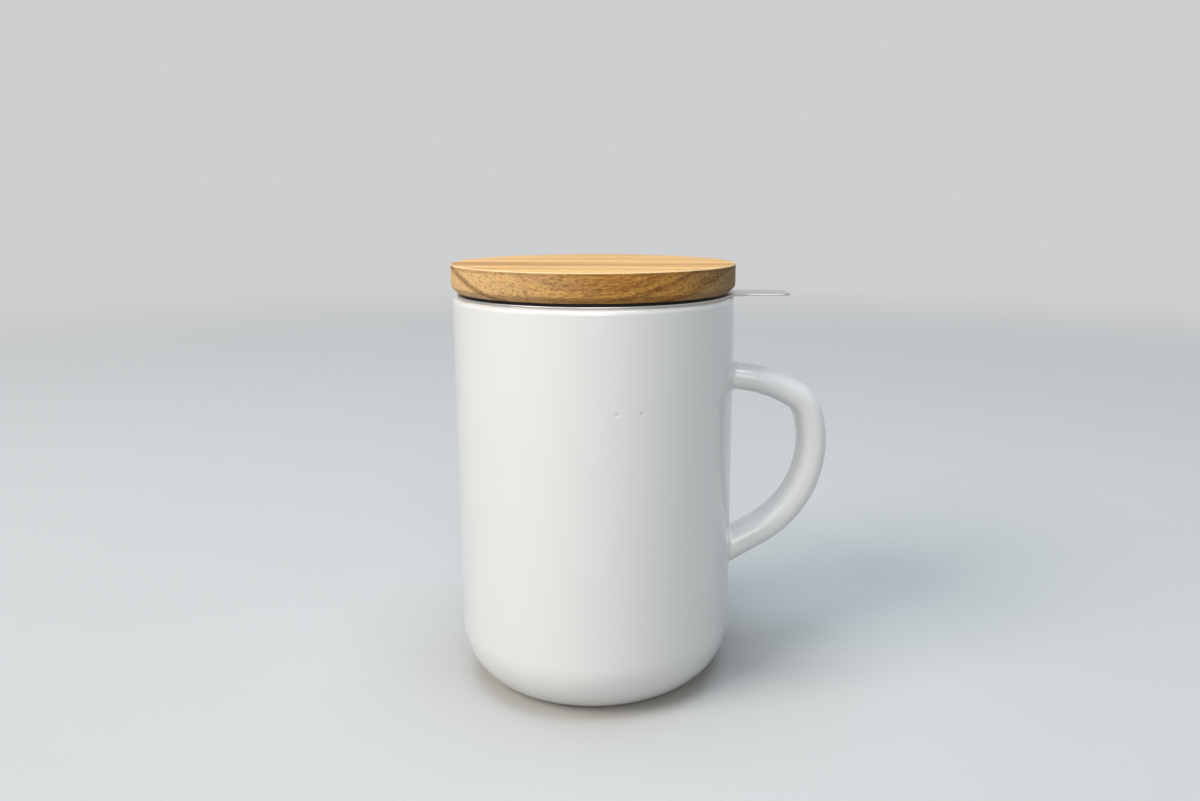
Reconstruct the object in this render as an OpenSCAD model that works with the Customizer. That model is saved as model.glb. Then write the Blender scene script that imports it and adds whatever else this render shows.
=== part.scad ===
// Straight-sided stoneware mug with a strap handle, a hanging steel infuser basket and a
// turned wooden lid. Millimetres. The origin is the centre of the foot's plane, +Z is up
// and +X points to the handle.

/* [Mug] */
// Outside diameter of the cylinder
mug_d = 88; // [80:1:100]
// Height of the lip above the table
mug_h = 124; // [112:1:150]
// Thickness of the wall
wall_t = 4; // [3.6:0.1:5]
// Thickness of the floor above the recess
floor_t = 6; // [4:0.5:9]
// Radial reach of the rounded corner at the base
corner_w = 15; // [10:0.5:18]
// Height of the rounded corner at the base
corner_h = 18; // [12:0.5:24]
// Radius of the corner between the inside wall and the floor
inner_corner_r = 13; // [6:0.5:18]
// Radius of each side of the lip
lip_r = 1.7; // [1:0.1:1.7]
// Height of the foot ring
foot_h = 1; // [0.5:0.1:2]
// Width of the foot ring
foot_w = 4.5; // [3:0.5:8]

/* [Handle] */
// Drop from the lip to the middle of the handle's upper root
handle_drop = 26.2; // [22:0.2:32]
// Rise of the handle where it leaves the wall, in degrees
handle_rise = 2.4; // [0:0.2:6]
// Radius of the long upper bend
upper_r = 43.5; // [40:0.5:48]
// Sweep of the upper bend, in degrees
upper_sweep = 33; // [30:1:36]
// Radius of the shoulder
shoulder_r = 12; // [10:0.5:16]
// Sweep of the shoulder, in degrees
shoulder_sweep = 43.5; // [41:0.5:46]
// Radius of the long lower bend
lower_r = 34; // [31:0.5:37]
// Sweep of the lower bend, in degrees
lower_sweep = 76.5; // [72:0.5:80]
// Thickness of the strap at the upper root
strap_top_t = 8.4; // [7:0.1:11]
// Thickness of the strap half way round
strap_mid_t = 9.1; // [7:0.1:12]
// Thickness of the strap at the lower root
strap_low_t = 9.8; // [8:0.1:13]
// Width of the strap, side to side
strap_w = 13.5; // [11:0.5:18]
// Squareness of the strap's section: 2 is an ellipse
strap_power = 2.4; // [2:0.1:3]

/* [Infuser] */
// Thickness of the pressed steel sheet of the rim
rim_t = 0.6; // [0.5:0.1:1]
// Thickness of the perforated sheet
mesh_t = 0.4; // [0.3:0.1:0.8]
// How far the flange's edge stays inside the mug's outside wall
flange_inset = 1.5; // [0.8:0.1:1.7]
// Radial clearance of the neck in the mug's mouth
neck_gap = 0.6; // [0.4:0.1:1.2]
// Depth of the neck below the flange
neck_h = 12.5; // [11:0.5:18]
// Height of the skirt that holds the perforated tube
skirt_h = 5; // [3:0.5:8]
// Outside diameter of the perforated tube
basket_d = 68.4; // [56:0.2:70]
// Depth of the basket below the lip
basket_h = 91; // [70:1:96]
// Height of the floor's upturned edge
floor_edge_h = 4; // [3:0.5:8]
// Radius of the bends in the rim's sheet
bend_r = 1.6; // [1.2:0.1:2.4]
// Reach of the tab beyond the mug's outside wall
tab_reach = 17.4; // [12:0.2:24]
// Width of the tab
tab_w = 14.5; // [10:0.5:20]
// Radius of the tab's two outer corners
tab_corner_r = 3; // [1:0.5:5]
// Radius where the tab runs into the flange
tab_fillet_r = 9; // [4:0.5:14]

/* [Perforations] */
// Width across the corners of a perforation
hole_d = 4; // [2:0.1:5]
// Spacing of the perforations
hole_pitch = 12.5; // [6:0.5:16]
// Plain band left at each end of the tube
plain_band = 7; // [6:0.5:14]

/* [Lid] */
// Diameter of the board
lid_d = 88.4; // [82:0.2:100]
// Thickness of the board at its edge
lid_t = 8.6; // [7:0.1:14]
// Size of the bevel round the board's lower edge
lid_bevel = 1.8; // [0.5:0.1:2.5]
// Radius that eases the board's upper edge
lid_ease_r = 0.5; // [0.3:0.1:1.5]
// Depth of the plug below the board
plug_h = 8; // [7:0.5:10]
// Height of the plug's lip below the seal
plug_lip_h = 1.4; // [1:0.1:2]
// Reach of the plug's lip past the seal's seat
plug_lip_w = 1.3; // [0.8:0.1:1.4]

/* [Seal] */
// Thickness of the seal's flange, between the board and the steel
seal_t = 0.8; // [0.6:0.1:1.5]
// Thickness of the seal's sleeve
sleeve_t = 1.5; // [1.4:0.1:2]
// How far the seal's flange stays inside the steel flange's edge
seal_inset = 1.2; // [0.3:0.1:2]
// Reach of each fin past the sleeve
fin_reach = 1.1; // [0.6:0.1:1.6]
// Thickness of a fin
fin_t = 0.7; // [0.5:0.1:1]
// Number of fins
fins = 2; // [1:1:2]
// Radial clearance of the fins in the neck
fin_gap = 0.3; // [0.2:0.1:0.6]

/* [Hidden] */
$fn = 96;
arc_steps = 10;            // pieces of a quarter round in a turned profile
eps = 0.01;
cut = 1;                   // how far a cutter runs past what it cuts

mug_r = mug_d / 2;
bore_r = mug_r - wall_t;
foot_r = mug_r - corner_w;
inner_floor_z = foot_h + floor_t;

flange_r = mug_r - flange_inset;
flange_z = mug_h;
neck_r = bore_r - neck_gap;
neck_inner_r = neck_r - rim_t;
shoulder_z = flange_z - neck_h;
basket_r = basket_d / 2;
basket_inner_r = basket_r - mesh_t;
basket_floor_z = mug_h - basket_h;
wall_top_z = shoulder_z;
tab_x = mug_r + tab_reach;
tab_start = neck_inner_r + bend_r;

seal_z = flange_z + rim_t;
board_z = seal_z + seal_t;
fin_r = neck_inner_r - fin_gap;
sleeve_r = fin_r - fin_reach;
seat_r = sleeve_r - sleeve_t;
seal_r = flange_r - seal_inset;
plug_z = board_z - plug_h;
sleeve_z = plug_z + plug_lip_h;
lid_r = lid_d / 2;

// Handle: [radius, sweep] of its three bends, taken from the upper root downwards
handle_bends = [[upper_r, upper_sweep], [shoulder_r, shoulder_sweep], [lower_r, lower_sweep]];
handle_start = [bore_r, mug_h - handle_drop, handle_rise];
bend_rings = 12;           // rings in each bend
end_rings = 3;             // rings in the straight lower end
ring_sides = 20;

// Points of an elliptical arc about c, from angle a to angle b
function arc(c, rx, ry, a, b, n = arc_steps) =
    [for (i = [0:n]) let (t = a + (b - a) * i / n) c + [rx * cos(t), ry * sin(t)]];

// Place and heading [x, z, heading] after turning clockwise by sweep on radius r
function turned(p, r, sweep) =
    let (h = p[2] - sweep)
    [p[0] + r * (sin(p[2]) - sin(h)), p[1] + r * (cos(h) - cos(p[2])), h];

function after_bends(p, n) =
    n == 0 ? p : let (q = after_bends(p, n - 1), b = handle_bends[n - 1]) turned(q, b[0], b[1]);

// The same after running straight on for a distance
function ahead(p, s) = [p[0] + s * cos(p[2]), p[1] + s * sin(p[2]), p[2]];

handle_last = after_bends(handle_start, len(handle_bends));
handle_end_run = (handle_last[0] - bore_r) / -cos(handle_last[2]);

handle_line = concat(
    [for (k = [0:len(handle_bends) - 1])
        let (from = after_bends(handle_start, k), b = handle_bends[k])
        for (i = [0:bend_rings - 1]) turned(from, b[0], b[1] * i / bend_rings)],
    [for (i = [0:end_rings]) ahead(handle_last, handle_end_run * i / end_rings)]);

// Closed section of the strap in its own plane: [thickness way, width way]
function power_of(v) = sign(v) * pow(abs(v), 2 / strap_power);
function strap_section(t) =
    [for (i = [0:ring_sides - 1]) let (a = 360 * (i + 0.5) / ring_sides)
        [power_of(cos(a)) * t / 2, power_of(sin(a)) * strap_w / 2]];

// Section t thick, stood across the centreline at p
function strap_ring(p, t) =
    [for (s = strap_section(t)) [p[0] + s[0] * sin(-p[2]), s[1], p[1] + s[0] * cos(p[2])]];

module mug_body() {
    color("ivory")
    rotate_extrude()
    polygon(concat(
        [[foot_r - foot_w, 0]],
        arc([foot_r, corner_h], corner_w, corner_h, -90, 0),
        arc([mug_r - lip_r, mug_h - lip_r], lip_r, lip_r, 0, 90),
        arc([bore_r + lip_r, mug_h - lip_r], lip_r, lip_r, 90, 180),
        arc([bore_r - inner_corner_r, inner_floor_z + inner_corner_r],
            inner_corner_r, inner_corner_r, 0, -90),
        [[0, inner_floor_z], [0, foot_h], [foot_r - foot_w - foot_h, foot_h]]));
}

module mug_handle() {
    rings = len(handle_line);
    points = [for (i = [0:rings - 1])
        let (t = lookup(i / (rings - 1), [[0, strap_top_t], [0.5, strap_mid_t], [1, strap_low_t]]))
        for (p = strap_ring(handle_line[i], t)) p];
    side_faces = [for (i = [0:rings - 2], j = [0:ring_sides - 1])
        let (a = i * ring_sides, b = a + ring_sides, k = (j + 1) % ring_sides)
        [a + j, a + k, b + k, b + j]];
    first = [for (j = [ring_sides - 1:-1:0]) j];
    last = [for (j = [0:ring_sides - 1]) (rings - 1) * ring_sides + j];
    color("ivory")
    difference() {
        polyhedron(points, concat(side_faces, [first, last]), convexity = 4);
        cylinder(r = mug_r, h = mug_h);
    }
}

// Turned outline of a sheet t thick that hangs from a flange by a neck, steps in on a
// shoulder and ends in a skirt
module rim_profile() {
    o = bend_r;
    i = bend_r - rim_t;
    skirt_r = basket_r + rim_t;
    polygon(concat(
        [[flange_r, flange_z + rim_t]],
        arc([neck_inner_r + o, flange_z + rim_t - o], o, o, 90, 180),
        arc([neck_inner_r - i, shoulder_z + rim_t + i], i, i, 0, -90),
        arc([basket_r + o, shoulder_z + rim_t - o], o, o, 90, 180),
        [[basket_r, shoulder_z - skirt_h], [skirt_r, shoulder_z - skirt_h]],
        arc([basket_r + o, shoulder_z + rim_t - o], i, i, 180, 90),
        arc([neck_inner_r - i, shoulder_z + rim_t + i], o, o, -90, 0),
        arc([neck_inner_r + o, flange_z + rim_t - o], i, i, 180, 90),
        [[flange_r, flange_z]]));
}

// Hollow root on the side y > 0, between the flange's edge and the edge of the tab
module tab_root() {
    centre_y = tab_w / 2 + tab_fillet_r;
    centre_x = sqrt(pow(flange_r + tab_fillet_r, 2) - pow(centre_y, 2));
    a = atan2(centre_y, centre_x);
    difference() {
        polygon([[tab_start, 0], [centre_x, tab_w / 2], [centre_x, centre_y],
                 flange_r * [cos(a), sin(a)]]);
        translate([centre_x, centre_y]) circle(tab_fillet_r);
    }
}

// Flat outline of the tab: a strip with eased outer corners and hollow roots
module tab_outline() {
    strip_end = tab_x - tab_corner_r;
    corner_y = tab_w / 2 - tab_corner_r;
    translate([tab_start, -tab_w / 2]) square([strip_end - tab_start, tab_w]);
    translate([tab_start, -corner_y]) square([tab_x - tab_start, 2 * corner_y]);
    for (side = [-1, 1]) translate([strip_end, side * corner_y]) circle(tab_corner_r);
    tab_root();
    mirror([0, 1]) tab_root();
}

module infuser_rim() {
    color("silver")
    union() {
        rotate_extrude() rim_profile();
        translate([0, 0, flange_z]) linear_extrude(rim_t) tab_outline();
    }
}

module infuser_wall() {
    bottom = basket_floor_z;
    field = wall_top_z - skirt_h - bottom - 2 * plain_band;
    rows = floor(field / hole_pitch) + 1;
    columns = floor(PI * basket_d / hole_pitch);
    first_z = bottom + plain_band + (field - (rows - 1) * hole_pitch) / 2;
    color("lightsteelblue")
    difference() {
        translate([0, 0, bottom]) cylinder(r = basket_r, h = wall_top_z - bottom);
        translate([0, 0, bottom - cut]) cylinder(r = basket_inner_r, h = wall_top_z - bottom + 2 * cut);
        for (row = [0:rows - 1], column = [0:columns - 1])
            rotate([0, 0, 360 * (column + 0.5 * (row % 2)) / columns])
            translate([basket_inner_r - cut, 0, first_z + row * hole_pitch])
            rotate([0, 90, 0])
            cylinder(d = hole_d, h = mesh_t + 2 * cut, $fn = 6);
    }
}

module infuser_floor() {
    r = basket_inner_r;
    rings = floor((r - mesh_t - hole_pitch / 2) / hole_pitch);
    color("lightsteelblue")
    difference() {
        translate([0, 0, basket_floor_z]) cylinder(r = r, h = floor_edge_h);
        translate([0, 0, basket_floor_z + mesh_t]) cylinder(r = r - mesh_t, h = floor_edge_h);
        translate([0, 0, basket_floor_z - cut]) cylinder(d = hole_d, h = mesh_t + 2 * cut, $fn = 6);
        for (ring = [1:rings], step = [0:6 * ring - 1])
            rotate([0, 0, 60 * step / ring])
            translate([ring * hole_pitch, 0, basket_floor_z - cut])
            cylinder(d = hole_d, h = mesh_t + 2 * cut, $fn = 6);
    }
}

module lid_board() {
    color("peru")
    rotate_extrude()
    polygon(concat(
        [[0, plug_z], [seat_r + plug_lip_w, plug_z], [seat_r + plug_lip_w, sleeve_z],
         [seat_r, sleeve_z], [seat_r, board_z], [lid_r - lid_bevel, board_z],
         [lid_r, board_z + lid_bevel]],
        arc([lid_r - lid_ease_r, board_z + lid_t - lid_ease_r], lid_ease_r, lid_ease_r, 0, 90, 4),
        [[0, board_z + lid_t]]));
}

module lid_seal() {
    sleeve_h = board_z - sleeve_z;
    fin_step = (sleeve_h - seal_t) / fins;
    color("dimgray")
    rotate_extrude() {
        translate([seat_r, sleeve_z]) square([sleeve_t, sleeve_h]);
        translate([seat_r, seal_z]) square([seal_r - seat_r, seal_t]);
        for (i = [0:fins - 1])
            translate([sleeve_r - eps, sleeve_z + i * fin_step]) square([fin_reach + eps, fin_t]);
    }
}

mug_body();
mug_handle();
infuser_rim();
infuser_wall();
infuser_floor();
lid_board();
lid_seal();
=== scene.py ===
"""Tea mug with a hanging infuser and a turned wooden lid: surfaces, finishes and stage.

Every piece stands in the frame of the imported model: metres, +Z up, the origin at the centre of the
foot, +X towards the handle. Each operator makes one piece or a group of like pieces.
"""

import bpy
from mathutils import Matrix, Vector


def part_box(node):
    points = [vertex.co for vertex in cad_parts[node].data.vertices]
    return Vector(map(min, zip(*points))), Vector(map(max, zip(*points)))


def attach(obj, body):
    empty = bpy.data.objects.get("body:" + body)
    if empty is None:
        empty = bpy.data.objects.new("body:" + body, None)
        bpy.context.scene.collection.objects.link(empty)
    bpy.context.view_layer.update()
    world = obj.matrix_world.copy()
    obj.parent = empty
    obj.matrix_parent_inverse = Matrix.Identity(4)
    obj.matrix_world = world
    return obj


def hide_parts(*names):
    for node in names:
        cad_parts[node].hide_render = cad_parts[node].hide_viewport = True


bl_info = {
    "name": "Tea Mug with Infuser",
    "version": (1, 0, 0),
    "blender": (4, 5, 0),
    "location": "View3D > Sidebar > Tea Mug",
    "description": "Glazed mug, perforated steel infuser, turned wooden lid and a small studio",
    "category": "Add Mesh",
}

from math import atan2, copysign, cos, hypot, pi, radians, sin, sqrt, tan

import bmesh
import bpy
from bpy.props import FloatProperty, FloatVectorProperty, IntProperty, PointerProperty
from mathutils import Matrix, Quaternion, Vector

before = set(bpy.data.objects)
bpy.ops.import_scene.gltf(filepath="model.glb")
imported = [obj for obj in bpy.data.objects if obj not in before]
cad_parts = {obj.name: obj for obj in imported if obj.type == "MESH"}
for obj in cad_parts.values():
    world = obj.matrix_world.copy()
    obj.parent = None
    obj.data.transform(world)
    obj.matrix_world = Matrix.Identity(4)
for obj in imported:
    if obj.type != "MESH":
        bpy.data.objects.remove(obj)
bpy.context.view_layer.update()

MM = 0.001


# ---------------------------------------------------------------- what the frame says


def reach(node, side=0):
    """Largest distance from the mug's axis to a CAD node, on the side of X that side names."""
    points = [v.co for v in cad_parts[node].data.vertices]
    return max(hypot(p.x, p.y) for p in points if p.x * side >= 0)


def lowest(node):
    """Height of a CAD node's lowest point."""
    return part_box(node)[0].z


def highest(node):
    """Height of a CAD node's highest point."""
    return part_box(node)[1].z


# ---------------------------------------------------------------- settings


def number(name, description, default, **more):
    """A number. Its limits and its unit are in more."""
    return FloatProperty(name=name, description=description, default=default, **more)


def length(name, description, default):
    """A size in metres."""
    return number(
        name, description, default, min=0.0, soft_max=0.5, unit="LENGTH", subtype="DISTANCE",
        precision=5,
    )


def angle(name, description, degrees):
    """An angle, given here in degrees."""
    return number(name, description, radians(degrees), unit="ROTATION", subtype="ANGLE")


def colour(name, description, red, green, blue):
    """A linear colour."""
    return FloatVectorProperty(
        name=name, description=description, default=(red, green, blue), size=3, min=0.0,
        max=1.0, subtype="COLOR",
    )


class MugSettings(bpy.types.PropertyGroup):
    """Sizes of the glazed body, and its glaze."""

    radius: length("Radius", "Outside radius of the cylinder", reach("mug_body"))
    height: length("Height", "Height of the lip", highest("mug_body"))
    wall: length("Wall", "Thickness of the wall", 4 * MM)
    floor: length("Floor", "Thickness of the floor above the recess", 6 * MM)
    corner_width: length("Corner width", "Radial reach of the rounded corner at the base", 15 * MM)
    corner_height: length("Corner height", "Height of the rounded corner at the base", 18 * MM)
    inner_corner: length("Inner corner", "Radius between the inside wall and the floor", 13 * MM)
    lip: length("Lip", "Radius of each side of the lip", 1.7 * MM)
    foot_height: length("Foot height", "Height of the foot ring", 1 * MM)
    foot_width: length("Foot width", "Width of the foot ring", 4.5 * MM)
    pinhole: length("Pinhole", "Width of each of the two pinholes in the front", 1.7 * MM)
    pinhole_height: length("Pinhole height", "Height of both pinholes", 94.7 * MM)
    first_pinhole: angle("First pinhole", "Turn from the front to the first pinhole", 8.1)
    second_pinhole: angle("Second pinhole", "Turn from the front to the second pinhole", 17.5)
    glaze: colour("Glaze", "Satin white glaze", 0.80, 0.795, 0.775)
    thin_glaze: colour("Thin glaze", "Glaze where it lies thinner", 0.772, 0.7632, 0.73625)
    # Painted shade: the colour that darkens each pinhole, as if shade fell into it.
    pinhole_shade: colour("Pit", "Shade in a pinhole", 0.42, 0.38, 0.33)
    clay: colour("Clay", "Bare fired clay under the foot", 0.52, 0.44, 0.35)


class HandleSettings(bpy.types.PropertyGroup):
    """Centreline and section of the strap handle."""

    drop: length("Drop", "Drop from the lip to the middle of the upper root", 26.2 * MM)
    rise: angle("Rise", "Rise of the handle where it leaves the wall", 2.4)
    upper_radius: length("Upper bend", "Radius of the long upper bend", 43.5 * MM)
    upper_sweep: angle("Upper sweep", "Sweep of the upper bend", 33)
    shoulder_radius: length("Shoulder", "Radius of the shoulder", 12 * MM)
    shoulder_sweep: angle("Shoulder sweep", "Sweep of the shoulder", 43.5)
    lower_radius: length("Lower bend", "Radius of the long lower bend", 34 * MM)
    lower_sweep: angle("Lower sweep", "Sweep of the lower bend", 76.5)
    top_thickness: length("Upper thickness", "Thickness at the upper root", 8.4 * MM)
    middle_thickness: length("Middle thickness", "Thickness half way round", 9.1 * MM)
    low_thickness: length("Lower thickness", "Thickness at the lower root", 9.8 * MM)
    width: length("Width", "Width of the strap, side to side", 13.5 * MM)
    power: number("Squareness", "2 makes the section an ellipse", 2.4, min=2.0, max=4.0)
    fillet: length("Fillet", "Radius of the slip worked into the joint at each root", 1.1 * MM)


class InfuserSettings(bpy.types.PropertyGroup):
    """Sizes of the pressed rim, the tab and the perforated sheet, and the steel."""

    flange: length("Flange", "Radius of the flange", reach("infuser_rim", -1))
    top: length("Top", "Height of the flange's upper face", highest("infuser_rim"))
    sheet: length("Rim sheet", "Thickness of the pressed sheet", 0.6 * MM)
    neck: length("Neck", "Outside radius of the neck", 39.4 * MM)
    neck_depth: length("Neck depth", "Depth of the neck below the flange", 12.5 * MM)
    skirt: length("Skirt", "Height of the lower end of the skirt", lowest("infuser_rim"))
    bend: length("Bend", "Outer radius of the bends in the sheet", 1.6 * MM)
    tab_tip: length("Tab tip", "How far the tab reaches from the axis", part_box("infuser_rim")[1].x)
    tab_width: length("Tab width", "Width of the tab", 14.5 * MM)
    tab_corner: length("Tab corner", "Radius of the tab's outer corners", 3 * MM)
    tab_root: length("Tab root", "Radius where the tab runs into the flange", 9 * MM)
    edge: length("Edge", "Rounding of the sheet's edges", 0.14 * MM)
    tube: length("Tube", "Outside radius of the perforated tube", reach("infuser_wall"))
    tube_low: length("Tube foot", "Height of the tube's lower end", lowest("infuser_wall"))
    tube_top: length("Tube head", "Height of the tube's upper end", highest("infuser_wall"))
    mesh: length("Perforated sheet", "Thickness of the perforated sheet", 0.4 * MM)
    upturn: length("Upturn", "Height of the floor's upturned edge", 4 * MM)
    floor_bend: length("Floor bend", "Outer radius of the bend at the floor's edge", 1.2 * MM)
    floor_border: length("Floor border", "Plain border of the floor, with its bend", 3.2 * MM)
    hole: length("Perforation", "Diameter of a perforation", 1.2 * MM)
    pitch: length("Pitch", "Spacing of the perforations", 2.5 * MM)
    top_band: length("Upper band", "Plain band at the head of the tube", 8 * MM)
    low_band: length("Lower band", "Plain band at the foot of the tube", 6 * MM)
    steel: colour("Steel", "Brushed stainless steel", 0.60, 0.59, 0.57)


class LidSettings(bpy.types.PropertyGroup):
    """Sizes of the turned board and its plug, and the wood."""

    radius: length("Radius", "Radius of the board", reach("lid_board"))
    top: length("Top", "Height of the upper face", highest("lid_board"))
    thickness: length("Thickness", "Thickness of the board at its edge", 8.6 * MM)
    bevel: length("Lower edge", "Rounding of the board's lower edge", 1.8 * MM)
    ease: length("Upper edge", "Rounding of the board's upper edge", 0.45 * MM)
    plug_low: length("Plug", "Height of the plug's lower face", lowest("lid_board"))
    plug_lip: length("Plug lip", "Height of the plug's lip", 1.4 * MM)
    plug_reach: length("Lip reach", "Reach of the plug's lip past the seal's seat", 1.3 * MM)
    seat: length("Seat", "Radius of the seal's seat on the plug", 35.9 * MM)
    heart_front: length("Heart across", "How far the heart lies in front of the axis", 8.5 * MM)
    heart_depth: length("Heart depth", "How far the tree's heart lies below the top", 49.1 * MM)
    heart_lean: angle("Heart lean", "Turn of the tree's heart away from X, seen from above", 4.7)
    ring_width: length("Ring width", "Spacing of the growth rings", 4.5 * MM)
    dark_ring: length("Dark ring", "Radius of the dark line round the pale core", 48.9 * MM)
    pale: colour("Pale wood", "Early wood on the face", 0.82, 0.490, 0.200)
    # Gold and russet are darker than pale and honey on the face: partly the edge grain's own colour,
    # partly painted shade for the side, which gets less light than the top.
    gold: colour("Gold wood", "Early wood round the edge", 0.66, 0.315, 0.066)
    honey: colour("Honey wood", "Late wood on the face", 0.36, 0.135, 0.028)
    russet: colour("Russet wood", "Late wood round the edge", 0.25, 0.092, 0.019)
    core: colour("Core wood", "Wood inside the dark line", 0.68, 0.430, 0.205)
    dark: colour("Dark wood", "Dark lines, flecks and pores", 0.12, 0.046, 0.014)
    amber: colour("Amber wood", "Golden clouds and flecks", 0.76, 0.420, 0.110)
    # Painted highlight: a paler colour on the rounded upper edge, where light catches it.
    painted_edge_highlight: colour("Worn wood", "Pale, rubbed wood on the rounded edges", 0.88, 0.66, 0.40)
    # Painted light: the end away from the handle, towards the key lamp, is painted paler as if lit.
    painted_lit_end: colour("Fair end", "Paler wood at the end away from the handle", 0.90, 0.590, 0.290)
    # Partly painted shade: end grain shows at both ends of the board, but only the end over the
    # handle, which faces away from the key lamp, is painted this dark.
    shaded_end_grain: colour("End grain", "Oil-darkened wood over the handle", 0.19, 0.150, 0.082)


class SealSettings(bpy.types.PropertyGroup):
    """Sizes of the silicone ring."""

    flange: length("Flange", "Radius of the flange", reach("lid_seal"))
    top: length("Top", "Height of the upper face", highest("lid_seal"))
    low: length("Foot", "Height of the lower end", lowest("lid_seal"))
    thickness: length("Thickness", "Thickness of the flange", 0.8 * MM)
    gap: length("Gap", "Gap under the flange, where it lies on the steel", 0.02 * MM)
    sleeve: length("Sleeve", "Thickness of the sleeve", 1.5 * MM)
    fin: length("Fin", "Radius of the fins", 38.5 * MM)
    fin_thickness: length("Fin thickness", "Thickness of a fin at its root", 0.7 * MM)
    fins: IntProperty(name="Fins", description="Number of fins", default=2, min=1, max=3)
    silicone: colour("Silicone", "Black silicone", 0.012, 0.012, 0.013)
    dust: colour("Dust", "Dust on the silicone", 0.10, 0.10, 0.10)


class StudioSettings(bpy.types.PropertyGroup):
    """Camera, lamps and floor."""

    lens: number("Lens", "Focal length", 28.92, unit="CAMERA", min=1.0)
    distance: length("Distance", "Distance of the camera from the mug's axis", 304.7 * MM)
    above: length("Above", "Height of the camera above the lid", 19.9 * MM)
    pitch: angle("Pitch", "How far the camera looks down", 11.9)
    yaw: angle("Yaw", "How far the camera looks to the right", 2.72)
    roll: angle("Roll", "Roll of the camera", 0.08)
    shift: number("Shift", "Sideways shift of the picture", -0.0333)
    key: number("Key lamp", "Power of the lamp on the left", 46.0, unit="POWER", min=0.0)
    front: number("Front lamp", "Power of the lamp in front", 20.0, unit="POWER", min=0.0)
    top: number("Top lamp", "Power of the lamp overhead", 48.0, unit="POWER", min=0.0)
    room: number("Room light", "Strength of the even light", 0.14, min=0.0)
    floor_radius: length("Floor radius", "Radius of the round floor", 4.0)
    fade_start: length("Fade start", "Where the floor starts to fade into the wall", 0.35)
    fade_end: length("Fade end", "Where the floor has the wall's colour", 1.5)
    floor: colour("Floor", "Pale floor, as seen", 0.54, 0.525, 0.50)
    bounce: colour("Bounce", "How much of its light the floor gives back", 0.32, 0.32, 0.32)
    sky: colour("Sky", "Colour of the room's even light", 0.86, 0.94, 1.0)
    wall: colour("Wall", "Colour of the room, as seen", 0.62, 0.625, 0.63)


class TeaMugSettings(bpy.types.PropertyGroup):
    """All the settings of the mug."""

    mug: PointerProperty(type=MugSettings, name="Mug")
    handle: PointerProperty(type=HandleSettings, name="Handle")
    infuser: PointerProperty(type=InfuserSettings, name="Infuser")
    lid: PointerProperty(type=LidSettings, name="Lid")
    seal: PointerProperty(type=SealSettings, name="Seal")
    studio: PointerProperty(type=StudioSettings, name="Studio")


# ---------------------------------------------------------------- mesh making

TURNS = 256                # points in a turned ring
SHARP = radians(40)        # edges sharper than this stay crisp
SAME_POINT = 0.001 * MM    # points of a piece that are closer than this are one


def round_angles(count=TURNS):
    """Angles of a full turn."""
    return [2 * pi * i / count for i in range(count)]


def arc(centre, radius, start, end, steps, rise=None):
    """Points of an arc, as (radius, height), with its angles in degrees. Rise makes it oval."""
    rise = rise or radius
    angles = [radians(start + (end - start) * i / steps) for i in range(steps + 1)]
    return [(centre[0] + radius * cos(a), centre[1] + rise * sin(a)) for a in angles]


def turned_ring(radius, height, angles):
    """One level ring, or a single point on the axis."""
    if radius <= 0:
        return [(0.0, 0.0, height)]
    return [(radius * cos(a), radius * sin(a), height) for a in angles]


def join_rings(bm, low, high):
    """Faces between two rings of vertices. A ring of one vertex closes the shell."""
    count = max(len(low), len(high))
    for i in range(count):
        k = (i + 1) % count
        corners = [low[i % len(low)], low[k % len(low)], high[k % len(high)], high[i % len(high)]]
        bm.faces.new(list(dict.fromkeys(corners)))


def loft(bm, rings, looped=False):
    """A skin over rings of points, given in order."""
    made = [[bm.verts.new(p) for p in ring] for ring in rings]
    for low, high in zip(made, made[1:]):
        join_rings(bm, low, high)
    if looped:
        join_rings(bm, made[-1], made[0])
    return made


def turned(profile, looped=False):
    """A shell turned from a profile of (radius, height) points."""
    bm = bmesh.new()
    loft(bm, [turned_ring(r, z, round_angles()) for r, z in profile], looped)
    return bm


def finished(name, bm, finish):
    """A new object with the bmesh's faces and a finish. The bmesh is used up."""
    mesh = bpy.data.meshes.new(name)
    bm.to_mesh(mesh)
    bm.free()
    mesh.materials.append(finish)
    thing = bpy.data.objects.new(name, mesh)
    bpy.context.scene.collection.objects.link(thing)
    return thing


def piece(name, bm, finish, body, node):
    """Turns a closed bmesh into a finished object that rides on a body and stands for a node."""
    bmesh.ops.remove_doubles(bm, verts=bm.verts, dist=SAME_POINT)
    bmesh.ops.recalc_face_normals(bm, faces=bm.faces)
    thing = finished(name, bm, finish)
    thing.data.shade_smooth()
    thing.data.set_sharp_from_angle(angle=SHARP)
    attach(thing, body)
    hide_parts(node)


# ---------------------------------------------------------------- node making


class Field:
    """What comes out of a node. Numbers take part in plain arithmetic."""

    def __init__(self, maker, socket):
        self.maker = maker
        self.socket = socket

    def __add__(self, other):
        return self.maker.maths("ADD", self, other)

    def __sub__(self, other):
        return self.maker.maths("SUBTRACT", self, other)

    def __rsub__(self, other):
        return self.maker.maths("SUBTRACT", other, self)

    def __mul__(self, other):
        return self.maker.maths("MULTIPLY", self, other)

    def __truediv__(self, other):
        return self.maker.maths("DIVIDE", self, other)

    def __mod__(self, other):
        return self.maker.maths("FLOORED_MODULO", self, other)

    def __pow__(self, other):
        return self.maker.maths("POWER", self, other)

    def __gt__(self, other):
        return self.maker.maths("GREATER_THAN", self, other)

    def __lt__(self, other):
        return self.maker.maths("LESS_THAN", self, other)

    def __abs__(self):
        return self.maker.maths("ABSOLUTE", self)

    __radd__ = __add__
    __rmul__ = __mul__


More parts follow.
